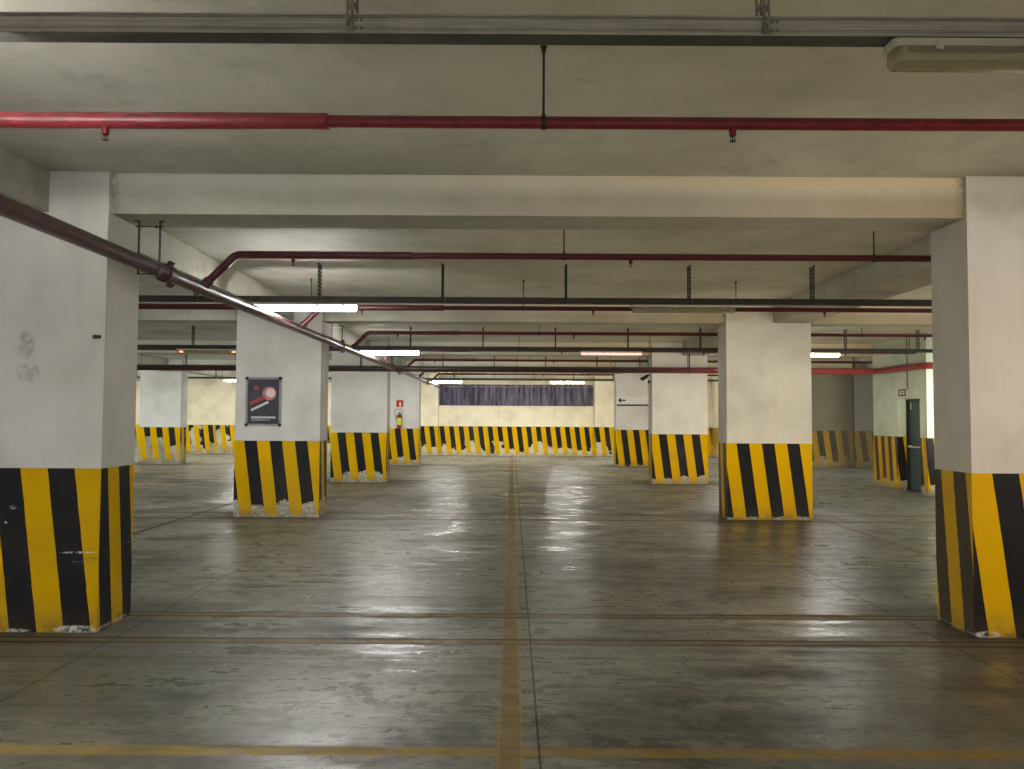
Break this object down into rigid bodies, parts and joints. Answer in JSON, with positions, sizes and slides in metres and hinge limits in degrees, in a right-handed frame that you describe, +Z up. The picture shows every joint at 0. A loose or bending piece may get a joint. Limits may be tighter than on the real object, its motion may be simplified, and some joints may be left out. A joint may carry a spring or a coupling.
{
  "type": "underground car park",
  "caption": "Underground car park storey with striped columns, beams, sprinkler pipes, lighting trunking, a rear wall and an emergency door that opens.",
  "frame": {"origin": "middle of the footprint on the underside of the floor slab", "axes": "+Z up, +Y from the open front to the rear wall, +X to the right"},
  "size_m": [32.55, 33, 3.93],
  "materials": {
    "floor_concrete": "polished concrete with painted lines",
    "ceiling_concrete": "painted concrete",
    "painted_wall": "painted plaster with black and yellow stripes below",
    "dark_steel": "matt",
    "red_pipe": "semi-gloss",
    "bronze_heads": "tarnished",
    "galvanised_steel": "galvanised",
    "fitting_plastic": "moulded",
    "lit_cover": "prismatic, lit",
    "fading_cover": "prismatic, faintly lit",
    "clear_cover": "prismatic, unlit",
    "door_frame_paint": "satin",
    "door_paint": "satin",
    "bar_black": "satin",
    "bar_white": "satin",
    "exit_plastic": "moulded",
    "extinguisher_red": "gloss",
    "hose_rubber": "matt black",
    "sign_plate": "satin",
    "banner_cloth": "faded coated cloth",
    "aluminium_frame": "satin anodised",
    "poster_print": "printed sheet behind clear cover"
  },
  "bodies": {
    "building": {"branch_pipe_hangers": "dark_steel", "branch_pipes": "red_pipe", "branch_risers": "red_pipe", "cable_hook": "dark_steel", "columns_row_1": "painted_wall", "columns_row_2": "painted_wall", "columns_row_3": "painted_wall", "columns_row_4": "painted_wall", "columns_row_5": "painted_wall", "core_end_wall": "painted_wall", "core_front_wall": "painted_wall", "core_rear_wall": "painted_wall", "core_wall_near_door": "painted_wall", "core_wall_over_door": "painted_wall", "core_wall_past_door": "painted_wall", "cross_beams": "ceiling_concrete", "cross_main": "red_pipe", "dark_light_covers": "clear_cover", "direction_sign": "sign_plate", "door_frame": "door_frame_paint", "door_hinges": "dark_steel", "exit_light": "exit_plastic", "exit_light_conduit": "galvanised_steel", "extinguisher_bracket": "dark_steel", "extinguisher_cylinder": "extinguisher_red", "extinguisher_hose": "hose_rubber", "extinguisher_sign": "sign_plate", "extinguisher_valve": "bar_black", "fading_light_cover": "fading_cover", "floor_slab": "floor_concrete", "light_housings": "fitting_plastic", "lighting_trunking": "galvanised_steel", "lit_light_covers": "lit_cover", "long_beams": "ceiling_concrete", "main_pipe_straps": "dark_steel", "poster_frame": "aluminium_frame", "poster_panel": "poster_print", "rear_wall_panels": "painted_wall", "rear_wall_pilasters": "painted_wall", "roof_slab": "ceiling_concrete", "security_camera": "bar_black", "sprinkler_heads": "bronze_heads", "sprinkler_main": "red_pipe", "store_end_wall": "painted_wall", "store_front_wall": "painted_wall", "store_side_wall": "painted_wall", "trunking_hangers": "galvanised_steel", "wall_banner": "banner_cloth"},
    "door": {"emergency_door": "door_paint", "panic_bar_housings": "bar_black"},
    "bar": {"panic_bar": "bar_white"}
  },
  "joints": [
    {"name": "emergency_door_hinge", "type": "hinge", "parent": "building", "child": "door", "pos_m": [12.813, 1.8025, 1.3], "axis": [0, 0, 1], "range_deg": [0, 90]},
    {"name": "panic_bar_push", "type": "hinge", "parent": "door", "child": "bar", "pos_m": [12.718, 1.35, 1.26], "axis": [0, -1, 0], "range_deg": [0, 15], "stiffness_Nm_per_rad": 4, "springref_deg": -5.73}
  ]
}
